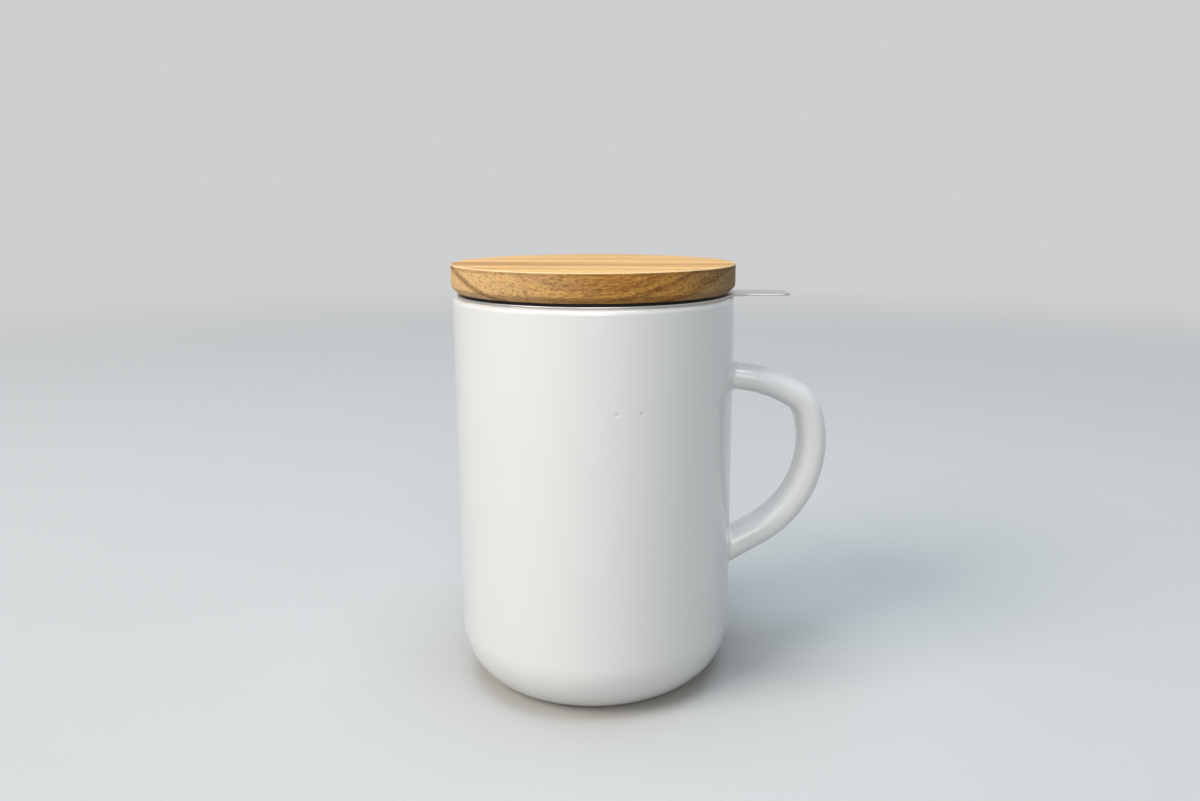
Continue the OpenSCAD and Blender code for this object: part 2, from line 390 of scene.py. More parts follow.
class NodeMaker:
    """Makes and links the nodes of one tree, which starts out empty."""

    def __init__(self, tree):
        self.tree = tree
        tree.nodes.clear()

    def add(self, kind, sockets=None, **settings):
        """Any node, with its settings, and with values or links in its sockets."""
        node = self.tree.nodes.new(kind)
        for name, value in settings.items():
            setattr(node, name, value)
        for key, value in (sockets or {}).items():
            self.put(node.inputs[key], value)
        return node

    def made(self, kind, sockets=None, output=0, **settings):
        """What comes out of a new node."""
        return Field(self, self.add(kind, sockets, **settings).outputs[output])

    def put(self, socket, value):
        """Links a field to a socket, or sets the socket."""
        if isinstance(value, Field):
            self.tree.links.new(value.socket, socket)
        elif socket.type == "RGBA" and len(value) == 3:
            socket.default_value = (*value, 1)
        else:
            socket.default_value = value

    def maths(self, operation, *values):
        """Any operation of the maths node on its values."""
        return self.made("ShaderNodeMath", dict(enumerate(values)), operation=operation)

    def split(self, vector):
        """The three parts of a vector."""
        parts = self.add("ShaderNodeSeparateXYZ", {0: vector}).outputs
        return [Field(self, part) for part in parts]

    def combine(self, x, y, z):
        """A vector from its three parts."""
        return self.made("ShaderNodeCombineXYZ", {0: x, 1: y, 2: z})


class ShaderNodes(NodeMaker):
    """Shader nodes: where a point is, how it is seen, and patterns over it."""

    def seen(self):
        """1 where the camera, or something shiny or clear, sees the surface; 0 where it lights."""
        path = self.add("ShaderNodeLightPath").outputs
        kinds = ("Camera", "Glossy", "Transmission")
        camera, glossy, clear = (Field(self, path[f"Is {kind} Ray"]) for kind in kinds)
        return self.maths("MINIMUM", camera + glossy + clear, 1.0)

    def place(self):
        """Where a point is on the object, in millimetres."""
        where = self.made("ShaderNodeTexCoord", output="Object")
        return self.stretch(where, (1 / MM, 1 / MM, 1 / MM))

    def facing(self):
        """The surface's own direction on the object, as three fields."""
        return self.split(self.made("ShaderNodeTexCoord", output="Normal"))

    def stretch(self, vector, scale):
        """A vector times a scale for each of its parts."""
        return self.made("ShaderNodeVectorMath", {0: vector, 1: scale}, operation="MULTIPLY")

    def far(self, vector, point):
        """How far a place is from a point."""
        ends = {0: vector, 1: point}
        return self.made("ShaderNodeVectorMath", ends, "Value", operation="DISTANCE")

    def noise(self, point, scale=1.0, detail=2.0, roughness=0.5):
        """Soft noise from 0 to 1, about 0.5. A scale of three parts stretches the pattern."""
        if isinstance(scale, tuple):
            return self.noise(self.stretch(point, scale), 1.0, detail, roughness)
        sockets = {"Vector": point, "Scale": scale, "Detail": detail, "Roughness": roughness}
        return self.made("ShaderNodeTexNoise", sockets, "Fac")

    def cells(self, point, scale):
        """Distance to the nearest of scattered points, in the pattern's own units."""
        return self.made("ShaderNodeTexVoronoi", {"Vector": point, "Scale": scale}, "Distance")

    def band(self, value, low, high):
        """0 below low, 1 above high and smooth between. Works downwards if low is above high."""
        sockets = {0: value, 1: min(low, high), 2: max(low, high), 3: 0.0, 4: 1.0}
        rising = self.made("ShaderNodeMapRange", sockets, interpolation_type="SMOOTHSTEP")
        return rising if low < high else 1 - rising

    def curve(self, value, stops):
        """A value bent through the stops of a ramp, each a place and a grey."""
        node = self.add("ShaderNodeValToRGB", {0: value})
        ramp = node.color_ramp.elements
        ramp.remove(ramp[-1])
        for i, (place, grey) in enumerate(stops):
            stop = ramp.new(place) if i else ramp[0]
            stop.position = place
            stop.color = (grey, grey, grey, 1)
        return Field(self, node.outputs[0])

    def blend(self, share, first, second):
        """A colour part of the way from first to second. The share is kept from 0 to 1."""
        sockets = {0: share, 6: first, 7: second}
        return self.made("ShaderNodeMix", sockets, 2, data_type="RGBA", clamp_factor=True)

    def coated(self, tone, *coats):
        """A colour under several coats, each a share and a colour, laid one over the other."""
        for share, coat in coats:
            tone = self.blend(share, tone, coat)
        return tone


class Finish(ShaderNodes):
    """A material being made: one Principled shader and what feeds it."""

    def __init__(self, name, constants):
        self.material = bpy.data.materials.new(name)
        self.material.use_nodes = True
        super().__init__(self.material.node_tree)
        self.shader = self.add("ShaderNodeBsdfPrincipled", constants)
        self.shaded = Field(self, self.shader.outputs[0])
        self.output = self.add("ShaderNodeOutputMaterial").inputs["Surface"]
        self.put(self.output, self.shaded)

    def relief(self, height):
        """Raises the surface by a height in millimetres."""
        sockets = {"Height": height, "Distance": MM, "Strength": 1.0}
        self.put(self.shader.inputs["Normal"], self.made("ShaderNodeBump", sockets))

    def fade(self, share, tint):
        """Shows an even tint in place of the surface where share is 1."""
        even = self.made("ShaderNodeEmission", {"Color": tint, "Strength": 1.0})
        sockets = {0: share, 1: self.shaded, 2: even}
        self.put(self.output, self.made("ShaderNodeMixShader", sockets))

    def surface(self, **fields):
        """Feeds the shader's own sockets."""
        for name, value in fields.items():
            self.put(self.shader.inputs[name.replace("_", " ").title()], value)
        return self.material


# ---------------------------------------------------------------- finishes

# Patterns are scaled per millimetre of the object.


def glaze_finish(look):
    """Satin white glaze that pools a little, with rare pinholes darkened by painted shade, and bare
    clay under the foot.
    """
    finish = Finish("satin_glaze", {"IOR": 1.52, "Coat Roughness": 0.12, "Coat IOR": 1.5})
    place = finish.place()
    height = finish.split(place)[2]
    pool = finish.noise(place, 0.022, detail=1)
    veil = finish.noise(place, 0.09)
    skin = finish.noise(place, 0.22, detail=1)
    grit = finish.noise(place, 3.0, detail=4)
    bare = finish.band(height + finish.noise(place, 0.5, detail=3) * 0.35, 0.75, 0.5)
    pits = finish.band(finish.cells(place, 0.035), 0.016, 0.007)
    for turn in (look.first_pinhole, look.second_pinhole):
        spot = Vector((look.radius * sin(turn), -look.radius * cos(turn), look.pinhole_height))
        away = finish.far(place, spot / MM)
        pits = finish.maths("MAXIMUM", pits, finish.band(away, look.pinhole / MM / 2, 0.0))

    tone = finish.coated(
        look.glaze,
        (pool * 0.7 + veil * 0.3, look.thin_glaze),
        # Painted shade in the pinholes, on top of their real dents.
        (pits * 0.15, look.pinhole_shade),
        (bare, finish.blend(grit, look.clay, look.clay * 0.7)),
    )
    finish.relief(pool * 0.14 + skin * 0.006 - pits * 0.14 + bare * (grit * 0.08 - 0.10))
    return finish.surface(
        base_color=tone, roughness=0.29 + veil * 0.05 + bare * 0.5,
        coat_weight=0.85 - bare * 0.85,
    )


def wood_finish(look):
    """Oiled hardwood. The grain runs along X, and the tree's heart lies below the board."""
    finish = Finish("oiled_wood", {"IOR": 1.42, "Specular IOR Level": 0.16})
    place = finish.place()
    along, across, up = finish.split(place)
    up = up - look.top / MM
    toward_x, _, toward_z = finish.facing()

    # Where a point lies in the tree, and in one year's growth.
    waver = finish.noise(finish.combine(along, across, up), (0.03, 0.10, 0.16)) - 0.5
    from_heart = across + along * tan(look.heart_lean) + look.heart_front / MM
    above_heart = up + look.heart_depth / MM
    ring = (from_heart * from_heart + above_heart * above_heart) ** 0.5 + waver * 1.2
    around = finish.maths("ARCTAN2", from_heart, above_heart) * (look.dark_ring / MM)
    from_dark = ring - look.dark_ring / MM
    season = finish.noise(finish.combine(ring, along, 3.0), (0.16, 0.002, 1.0), detail=1)
    year = finish.maths("FRACT", from_dark / (look.ring_width / MM) + season * 0.3 + 0.58)
    late = finish.curve(year, [(0.0, 0.0), (0.45, 0.2), (0.85, 0.85), (0.95, 1.0), (1.0, 0.0)])
    late = late * (season + 0.3)

    # Patterns that are drawn out along the grain.
    fibre = finish.noise(place, (0.030, 1.3, 1.3), detail=4, roughness=0.6)
    streak = finish.noise(place, (0.010, 0.55, 0.55), detail=3, roughness=0.55)
    ribbon = finish.noise(place, (0.008, 0.16, 0.16))
    cloud = finish.noise(place, (0.035, 0.06, 0.12))
    along_ring = finish.combine(along, around, ring)
    across_rings = finish.combine(along, 7.0, ring)
    figure = finish.noise(across_rings, (0.025, 1.0, 0.5), detail=3, roughness=0.65)
    fleck = finish.noise(along_ring, (0.55, 1.1, 3.0), detail=4, roughness=0.68)
    dark_fleck = finish.band(fleck, 0.50, 0.34)
    light_fleck = finish.band(fleck, 0.52, 0.68)
    pores = finish.band(finish.noise(place, (0.30, 3.2, 3.2), detail=1), 0.62, 0.72)

    # Parts of the board that look different, several of them through painted light or shade.
    side = finish.band(toward_z, 0.85, 0.30)
    # End grain over the handle, made darker as painted shade, since that end lies away from the key
    # lamp.
    end = finish.band(toward_x, 0.35, 0.97) * side
    # Painted light on the left end of the side, where the key lamp shines.
    painted_lit_end = finish.band(along, 8.0, -38.0) * side
    # Painted shadow: a thin dark line on the side just under the rounded top edge.
    painted_edge_shadow = finish.band(up, -1.5, -0.7) * side
    core = finish.band(from_dark, 0.0, -1.6)
    # Painted highlight along the rounded upper edge.
    painted_edge_highlight = finish.band(toward_z, 0.30, 0.60) * finish.band(toward_z, 0.985, 0.90)
    # Painted shade on the downward-facing lower edge, deeper towards the end over the handle.
    painted_underside_shade = finish.band(toward_z, -0.15, -0.60) * (0.4 + finish.band(along, 5.0, 38.0) * 0.6)
    growth_line = finish.band(abs(from_dark + (fleck - 0.5) * 2.2), 1.3, 0.2)
    growth_line = growth_line * (0.3 + finish.band(along, 5.0, -25.0) * 0.7)

    on_face = late * 0.50 + (ribbon - 0.5) * 1.7 + (streak - 0.5) * 1.8 + 0.04
    on_side = late * 0.8 + (cloud - 0.5) * 2.0 + (figure - 0.5) * 3.2 + 0.16
    tone = finish.coated(
        finish.blend(on_face, look.pale, look.honey),
        # The side takes the darker gold and russet: the edge grain's own tone, plus painted shade
        # for the side's weaker light.
        (side, finish.blend(on_side, look.gold, look.russet)),
        (core * 0.8, look.core),
        (side * finish.band(cloud, 0.50, 0.64) * 0.25, look.amber),
        # Painted light on the left end of the side.
        (painted_lit_end * 0.80, look.painted_lit_end),
        # End grain over the handle, darkened further as painted shade.
        (end * 0.8, look.shaded_end_grain),
        ((0.52 - fibre) * (1.1 + side * 0.8), look.dark),
        (growth_line * (0.25 + side * 0.35), look.dark),
        (dark_fleck * (0.10 + side * 0.48), look.dark),
        (light_fleck * (0.16 + side * 0.60), look.amber),
        (pores * (0.25 + side * 0.32), look.dark),
        # Painted shade under the lower edge, and a painted shadow line just below the upper edge.
        (painted_underside_shade * 0.50 + painted_edge_shadow * 0.30, look.dark),
        # Painted highlight on the rounded upper edge.
        (painted_edge_highlight * 0.75, look.painted_edge_highlight),
    )
    finish.relief((fibre - 0.5) * 0.03 + (fleck - 0.5) * 0.03 - pores * 0.06)
    return finish.surface(base_color=tone, roughness=0.50 + pores * 0.15 + end * 0.1 + fleck * 0.1)


def brushed_finish(look, name):
    """Stainless steel, brushed round the axis."""
    finish = Finish(name, {"Metallic": 1.0, "IOR": 2.5})
    place = finish.place()
    x, y, z = finish.split(place)
    from_axis = (x * x + y * y) ** 0.5
    round_way = finish.combine(from_axis, z, x)
    brush = finish.noise(round_way, (9.0, 9.0, 0.02), detail=4, roughness=0.65)
    smear = finish.noise(place, 0.12, detail=3)
    wipe = finish.band(finish.noise(place, 0.05), 0.45, 0.62)
    finish.relief(brush * 0.012)
    return finish.surface(
        base_color=finish.blend(brush * 0.7 + smear * 0.3, look.steel, look.steel * 0.82),
        roughness=0.29 + brush * 0.10 + smear * 0.05 + wipe * 0.03,
    )


def silicone_finish(look):
    """Black silicone, slightly dusty."""
    finish = Finish("black_silicone", {"IOR": 1.41, "Specular IOR Level": 0.4})
    place = finish.place()
    dust = finish.band(finish.noise(place, 1.1, detail=4, roughness=0.7), 0.52, 0.74)
    finish.relief(finish.noise(place, 2.5, detail=3) * 0.01)
    return finish.surface(
        base_color=finish.blend(dust * 0.10, look.silicone, look.dust), roughness=0.50 + dust * 0.2,
    )


def floor_finish(look):
    """Pale floor that fades into the wall, seen paler than it lights the mug."""
    finish = Finish("pale_floor", {"Roughness": 0.9, "Specular IOR Level": 0.2})
    place = finish.place()
    paper = finish.noise(place, 0.02, detail=3)
    shown = finish.blend(paper, look.floor, look.floor * 0.97)
    seen = finish.seen()
    away = finish.band(finish.far(place, (0, 0, 0)), look.fade_start / MM, look.fade_end / MM)
    finish.fade(seen * away, look.wall)
    return finish.surface(base_color=finish.blend(seen, look.bounce, shown))


# ---------------------------------------------------------------- glazed pieces


def body_profile(mug):
    """Outline of the body from the middle of its recess, round the lip, to the inside floor."""
    foot = mug.radius - mug.corner_width
    inner_foot = foot - mug.foot_width
    bore = mug.radius - mug.wall
    floor = mug.foot_height + mug.floor
    corner = mug.inner_corner
    ease = 0.35 * MM
    return [
        (0, mug.foot_height),
        (inner_foot * 0.5, mug.foot_height),
        (inner_foot - mug.foot_height - ease, mug.foot_height),
        (inner_foot - mug.foot_height * 0.55, mug.foot_height * 0.72),
        (inner_foot - ease * 0.4, ease * 0.5),
        (inner_foot + ease, 0),
        (foot - ease, 0),
        *arc((foot, mug.corner_height), mug.corner_width, -88, 0, steps=30, rise=mug.corner_height),
        (mug.radius, mug.height * 0.5),
        *arc((mug.radius - mug.lip, mug.height - mug.lip), mug.lip, 0, 90, steps=10),
        *arc((bore + mug.lip, mug.height - mug.lip), mug.lip, 90, 180, steps=10),
        (bore, mug.height * 0.5),
        *arc((bore - corner, floor + corner), corner, 0, -90, steps=20),
        (bore * 0.3, floor),
        (0, floor),
    ]


class StrapHandle:
    """The strap handle: a section carried down a centreline of three bends and a straight end."""

    BENDS = 3
    END_SHARE = 0.25       # the straight end counts as a quarter of a bend
    SIDES = 48
    STATIONS = 100
    FILLET_STEPS = 7
    ROOTED = 1.0 * MM      # how deep the closed ends sit in the wall
    HALVINGS = 40          # halvings of the search for a place along the strap

    def __init__(self, handle, mug):
        self.strap = handle
        self.wall = mug.radius
        self.start = (mug.radius - mug.wall, mug.height - handle.drop, handle.rise)
        self.bends = [
            (handle.upper_radius, handle.upper_sweep),
            (handle.shoulder_radius, handle.shoulder_sweep),
            (handle.lower_radius, handle.lower_sweep),
        ]
        self.ends = [self.start]
        for radius, sweep in self.bends:
            self.ends.append(self.turn(self.ends[-1], radius, sweep))
        x, _, heading = self.ends[-1]
        self.run = (x - self.start[0]) / -cos(heading)

    @staticmethod
    def turn(place, radius, sweep):
        """Place and heading after a clockwise bend."""
        x, z, heading = place
        after = heading - sweep
        x += radius * (sin(heading) - sin(after))
        z += radius * (cos(after) - cos(heading))
        return (x, z, after)

    def centre(self, t):
        """Place and heading at t, which counts the bends: 0 is the upper root."""
        k = min(int(t), self.BENDS)
        if k < self.BENDS:
            radius, sweep = self.bends[k]
            return self.turn(self.ends[k], radius, sweep * (t - k))
        x, z, heading = self.ends[-1]
        step = self.run * (t - k) / self.END_SHARE
        return (x + step * cos(heading), z + step * sin(heading), heading)

    def thickness(self, t):
        """Thickness of the strap at t, which changes evenly between its three settings."""
        share = t / (self.BENDS + self.END_SHARE)
        strap = self.strap
        top, middle, low = strap.top_thickness, strap.middle_thickness, strap.low_thickness
        if share < 0.5:
            return top + (middle - top) * share * 2
        return middle + (low - middle) * (share * 2 - 1)

    def corner(self, side):
        """Unit offsets of the section's side: thickness way and width way."""
        a = 2 * pi * (side + 0.5) / self.SIDES
        power = 2 / self.strap.power
        return [copysign(abs(part) ** power, part) for part in (cos(a), sin(a))]

    def skin(self, t, side):
        """Point on the strap's surface."""
        x, z, heading = self.centre(t)
        thick, wide = self.corner(side)
        out = thick * self.thickness(t) / 2
        return Vector((x - out * sin(heading), wide * self.strap.width / 2, z + out * cos(heading)))

    def outward(self, t, side):
        """Direction out of the strap, across its centreline."""
        thick, wide = self.corner(side)
        heading = self.centre(t)[2]
        flat = thick / self.thickness(t)
        out = Vector((-flat * sin(heading), wide / self.strap.width, flat * cos(heading)))
        return out.normalized()

    def where(self, side, gap, inside, outside):
        """The t at which a side comes within gap of the wall, between two values of t."""
        for _ in range(self.HALVINGS):
            t = (inside + outside) / 2
            p = self.skin(t, side)
            if hypot(p.x, p.y) < self.wall + gap:
                inside = t
            else:
                outside = t
        return outside

    def root_point(self, side, turn, inside, outside):
        """Point on a root's hollow fillet. Turn 0 is on the strap, a right angle on the wall."""
        gap = self.strap.fillet * (1 - sin(turn))
        spread = self.strap.fillet * (1 - cos(turn))
        t = self.where(side, gap, inside, outside)
        p = self.skin(t, side)
        away = Vector((p.x, p.y, 0)).normalized()
        n = self.outward(t, side)
        n = (n - away * n.dot(away)).normalized()
        p = p + n * spread
        grow = (self.wall + gap) / hypot(p.x, p.y)
        return (p.x * grow, p.y * grow, p.z)

    def root_rings(self, inside, outside):
        """Rings of the fillet, from the strap to the wall, and one inside the wall."""
        turns = [pi / 2 * i / self.FILLET_STEPS for i in range(self.FILLET_STEPS + 1)]
        rings = [[self.root_point(j, a, inside, outside) for j in range(self.SIDES)] for a in turns]
        deep = 1 - self.ROOTED / self.wall
        rings.append([(x * deep, y * deep, z) for x, y, z in rings[-1]])
        return rings

    def build(self):
        """The strap and both its roots, as a closed shell."""
        sides = range(self.SIDES)
        last = self.BENDS + self.END_SHARE
        middle = self.BENDS / 2
        first, final = (
            [self.where(j, self.strap.fillet, end, middle) for j in sides] for end in (0.0, last)
        )
        strap = [
            [self.skin(first[j] + (final[j] - first[j]) * i / self.STATIONS, j) for j in sides]
            for i in range(1, self.STATIONS)
        ]
        bm = bmesh.new()
        rings = loft(bm, [
            *reversed(self.root_rings(0.0, middle)), *strap, *self.root_rings(last, middle),
        ])
        bm.faces.new(rings[0])
        bm.faces.new(rings[-1])
        return bm


# ---------------------------------------------------------------- steel pieces

LENGTH = "Float"
COUNT = "Int"
TILE_SIDES = 12            # points round a perforation, two for each side of its six-sided tile
ROW_STEP = sqrt(3) / 2     # spacing of the rows of perforations, as a share of their pitch
SEAM_TILES = 2             # columns of the tube without perforations, along its welded seam
FLOOR_TURNS = 160          # points round the infuser's floor
WELD = 0.002 * MM          # points of a sheet that are closer than this are joined


def edge_arc(centre, radius, start, end, steps, hollow=False):
    """Points of a round stretch of the rim's edge, each with its outward direction."""
    turns = [start + (end - start) * i / steps for i in range(steps + 1)]
    back = pi if hollow else 0
    return [((centre[0] + radius * cos(a), centre[1] + radius * sin(a)), a - back) for a in turns]


def tab_outline(steel):
    """Points and outward directions round the flange and its tab, from the tip anticlockwise."""
    half = steel.tab_width / 2
    corner = steel.tab_corner
    root = steel.tab_root
    rise = half + root
    root_x = sqrt((steel.flange + root) ** 2 - rise ** 2)
    meet = atan2(rise, root_x)
    straight = steel.tab_tip - corner
    side = [
        ((steel.tab_tip, 0.0), 0.0),
        ((steel.tab_tip, (half - corner) * 0.6), 0.0),
        *edge_arc((straight, half - corner), corner, 0, pi / 2, steps=8),
        *[((straight + (root_x - straight) * share, half), pi / 2) for share in (0.25, 0.5, 0.75)],
        *edge_arc((root_x, rise), root, 1.5 * pi, pi + meet, steps=12, hollow=True),
        *edge_arc((0, 0), steel.flange, meet, pi, steps=TURNS // 2)[1:],
    ]
    mirrored = [((x, -y), -a) for (x, y), a in side[1:-1]]
    return side + mirrored[::-1]


def rim_mesh(steel):
    """The pressed rim: flange with its tab, neck, shoulder and skirt, as one closed sheet."""
    outline = tab_outline(steel)
    angles = [atan2(y, x) for (x, y), _ in outline]
    sheet = steel.sheet
    top = steel.top
    under = top - sheet
    outer = steel.bend
    inner = outer - sheet
    neck_in = steel.neck - sheet
    shoulder = under - steel.neck_depth + sheet
    tube = steel.tube
    ease = steel.edge
    edge = [
        (ease, top), (ease * 0.3, top - ease * 0.3), (0, top - ease),
        (0, under + ease), (ease * 0.3, under + ease * 0.3), (ease, under),
    ]
    neck_bend = (neck_in + outer, top - outer)
    shoulder_bend = (neck_in - inner, shoulder + inner)
    skirt_bend = (tube + outer, shoulder - outer)
    low_side = [
        *arc(neck_bend, inner, 90, 180, steps=6),
        *arc(shoulder_bend, outer, 0, -90, steps=8),
        *arc(skirt_bend, inner, 90, 180, steps=6),
        (tube + sheet, steel.skirt + ease),
        (tube + sheet - ease, steel.skirt),
    ]
    high_side = [
        (tube + ease, steel.skirt),
        (tube, steel.skirt + ease),
        *arc(skirt_bend, outer, 180, 90, steps=8),
        *arc(shoulder_bend, inner, -90, 0, steps=6),
        *arc(neck_bend, outer, 180, 90, steps=8),
    ]
    plain = steel.flange - 1.2 * MM    # inside this radius the flange is round, without its tab
    bm = bmesh.new()
    loft(bm, [
        turned_ring(plain, top, angles),
        *[[(x - inset * cos(a), y - inset * sin(a), z) for (x, y), a in outline]
          for inset, z in edge],
        turned_ring(plain, under, angles),
        *[turned_ring(r, z, angles) for r, z in low_side + high_side],
    ], looped=True)
    return bm


class SheetNodes(NodeMaker):
    """A geometry node tree that punches a sheet. Its named inputs are in given, in order."""

    def __init__(self, name, inputs):
        super().__init__(bpy.data.node_groups.new(name, "GeometryNodeTree"))
        for label, kind in {"Geometry": "Geometry", **inputs}.items():
            self.tree.interface.new_socket(label, in_out="INPUT", socket_type="NodeSocket" + kind)
        self.tree.interface.new_socket(
            "Geometry", in_out="OUTPUT", socket_type="NodeSocketGeometry"
        )
        sockets = self.add("NodeGroupInput").outputs
        self.given = [Field(self, sockets[label]) for label in inputs]
        self.output = self.add("NodeGroupOutput").inputs[0]

    def place(self):
        """The three parts of each point's place."""
        return self.split(self.made("GeometryNodeInputPosition"))

    def from_axis(self):
        """Each point's distance from Z."""
        x, y, _ = self.place()
        return self.maths("SQRT", x * x + y * y)

    def round_place(self, radius, turn, height):
        """The place at a radius from Z, a turn about Z and a height."""
        x, y = (radius * self.maths(way, turn) for way in ("COSINE", "SINE"))
        return self.combine(x, y, height)

    def moved(self, mesh, place, chosen=True):
        """A mesh with its chosen points at a new place."""
        sockets = {"Geometry": mesh, "Selection": chosen, "Position": place}
        return self.made("GeometryNodeSetPosition", sockets)

    def joined(self, *parts):
        """Several geometries as one."""
        both = self.add("GeometryNodeJoinGeometry")
        for part in parts:
            self.put(both.inputs[0], part)
        return Field(self, both.outputs[0])

    def welded(self, mesh):
        """Joins points that lie on each other."""
        return self.made("GeometryNodeMergeByDistance", {"Geometry": mesh, "Distance": WELD})

    def flipped(self, mesh):
        """A mesh with its faces turned over."""
        return self.made("GeometryNodeFlipFaces", {0: mesh})

    def without(self, mesh, domain, chosen):
        """A mesh less its chosen points or faces."""
        sockets = {"Geometry": mesh, "Selection": chosen}
        return self.made("GeometryNodeDeleteGeometry", sockets, domain=domain)

    def extruded(self, mesh, mode, chosen=True, offset=0.0):
        """A mesh grown from its chosen edges or faces, and which of its points are new."""
        sockets = {"Mesh": mesh, "Selection": chosen, "Offset Scale": offset}
        if mode == "FACES":
            sockets["Individual"] = False
        node = self.add("GeometryNodeExtrudeMesh", sockets, mode=mode)
        return Field(self, node.outputs["Mesh"]), Field(self, node.outputs["Top"])

    def copies(self, thing, points, chosen=True):
        """A real copy of a thing at each chosen point."""
        sockets = {"Points": points, "Selection": chosen, "Instance": thing}
        placed = self.made("GeometryNodeInstanceOnPoints", sockets)
        return self.made("GeometryNodeRealizeInstances", {0: placed})

    def staggered_points(self, columns, rows, pitch):
        """Points of a grid about the origin, with every second row moved half a pitch."""
        high = (rows - 1) * pitch * ROW_STEP
        wide = (columns - 1) * pitch
        grid = self.made("GeometryNodeMeshGrid", {
            "Size X": wide, "Size Y": high, "Vertices X": columns, "Vertices Y": rows,
        })
        x, y, z = self.place()
        row = self.maths("ROUND", (y + high / 2) / (pitch * ROW_STEP))
        return self.moved(grid, self.combine(x + (row % 2 - 0.5) * (pitch / 2), y, z))

    def tile(self, mesh, outer, pitch):
        """A small round mesh with its outer points moved out to a six-sided tile."""
        x, y, _ = self.place()
        turn = self.maths("ARCTAN2", y, x)
        sixth = pi / 3
        near_flat = (turn + sixth / 2) % sixth - sixth / 2
        far = pitch / 2 / self.maths("COSINE", near_flat)
        return self.moved(mesh, self.round_place(far, turn, 0.0), outer)

    def end(self, mesh, finish):
        """Ends the tree in a plain mesh with its finish."""
        real = self.made("GeometryNodeRealizeInstances", {0: mesh})
        done = self.made("GeometryNodeSetMaterial", {"Geometry": real, "Material": finish})
        self.put(self.output, done)
        return self

    def run(self, values):
        """What the tree makes with these inputs, as a bmesh."""
        carrier = bpy.data.objects.new("carrier", bpy.data.meshes.new("carrier"))
        bpy.context.scene.collection.objects.link(carrier)
        modifier = carrier.modifiers.new("sheet", "NODES")
        modifier.node_group = self.tree
        for item in self.tree.interface.items_tree:
            if item.in_out == "INPUT" and item.name in values:
                modifier[item.identifier] = values[item.name]
        graph = bpy.context.evaluated_depsgraph_get()
        mesh = bpy.data.meshes.new_from_object(carrier.evaluated_get(graph), depsgraph=graph)
        carrier.modifiers.remove(modifier)
        bpy.data.objects.remove(carrier)
        bm = bmesh.new()
        bm.from_mesh(mesh)
        bpy.data.meshes.remove(mesh)
        return bm


def tube_tree(finish):
    """Six-sided tiles, each with its perforation, rolled into a tube between two plain bands."""
    nodes = SheetNodes("perforated_sheet", {
        "Hole": LENGTH, "Thickness": LENGTH, "Radius": LENGTH, "Low": LENGTH, "High": LENGTH,
        "Middle": LENGTH, "Columns": COUNT, "Rows": COUNT, "Seam tiles": COUNT,
    })
    hole, thickness, radius, low, high, middle, columns, rows, seam_tiles = nodes.given
    inside = radius - thickness
    pitch = inside * (2 * pi) / columns

    circle = {"Vertices": TILE_SIDES, "Radius": hole / 2}
    ring, disc = (
        nodes.made("GeometryNodeMeshCircle", circle, fill_type=fill)
        for fill in ("NONE", "TRIANGLE_FAN")
    )
    punched = nodes.tile(*nodes.extruded(ring, "EDGES"), pitch)
    blank = nodes.tile(disc, nodes.from_axis() > hole / 4, pitch)
    points = nodes.staggered_points(columns, rows, pitch)
    x, y, z = nodes.place()
    at_seam = abs(x) > pitch * ((columns - seam_tiles) / 2)
    sheet = nodes.welded(nodes.joined(
        nodes.copies(punched, points, 1 - at_seam), nodes.copies(blank, points, at_seam)))
    sheet = nodes.welded(nodes.moved(sheet, nodes.round_place(inside, x / inside, y + middle)))

    # The plain bands grow from the sheet's open edges, which lie past its last rows of tiles.
    last_row = pitch * ROW_STEP * ((rows - 1) / 2)
    on_border = nodes.made("GeometryNodeInputMeshEdgeNeighbors") < 1.5
    for height, sign in ((high, 1), (low, -1)):
        past_rows = (z - middle) * sign > last_row + pitch * 0.3
        sheet, top = nodes.extruded(sheet, "EDGES", on_border * past_rows)
        sheet = nodes.moved(sheet, nodes.combine(x, y, height), top)

    skin, top = nodes.extruded(sheet, "FACES")
    grow = radius / inside
    skin = nodes.moved(skin, nodes.combine(x * grow, y * grow, z), top)
    return nodes.end(nodes.welded(nodes.joined(skin, nodes.flipped(sheet))), finish)


def disc_tree(finish):
    """Round sheet, punched inside a smaller circle."""
    nodes = SheetNodes("perforated_disc", {
        "Hole": LENGTH, "Pitch": LENGTH, "Thickness": LENGTH, "Count": COUNT, "Radius": LENGTH,
        "Field": LENGTH, "Low": LENGTH, "Border": COUNT,
    })
    hole, pitch, thickness, count, radius, field, low, border = nodes.given
    points = nodes.staggered_points(count, count, pitch)
    points = nodes.without(points, "POINT", nodes.from_axis() > field)
    ring, outline = (
        nodes.made("GeometryNodeCurvePrimitiveCircle", {"Resolution": sides, "Radius": size})
        for sides, size in ((TILE_SIDES, hole / 2), (border, radius))
    )
    curves = nodes.joined(nodes.copies(ring, points), outline)
    flat = nodes.made("GeometryNodeFillCurve", {"Curve": curves})
    raised, _ = nodes.extruded(flat, "FACES", offset=thickness)
    sheet = nodes.welded(nodes.joined(raised, nodes.flipped(flat)))
    # The wall round the disc goes, because the bent edge takes its place.
    sheet = nodes.without(sheet, "FACE", nodes.from_axis() > radius * 0.999)
    x, y, z = nodes.place()
    return nodes.end(nodes.moved(sheet, nodes.combine(x, y, z + low)), finish)


def punched_tube(steel, finish):
    """The tube as a bmesh."""
    field = steel.tube_top - steel.tube_low - steel.top_band - steel.low_band
    return tube_tree(finish).run({
        "Hole": steel.hole, "Thickness": steel.mesh, "Radius": steel.tube,
        "Low": steel.tube_low, "High": steel.tube_top,
        "Middle": steel.tube_low + steel.low_band + field / 2,
        "Columns": round(2 * pi * (steel.tube - steel.mesh) / steel.pitch),
        "Rows": int(field / (steel.pitch * ROW_STEP)), "Seam tiles": SEAM_TILES,
    })


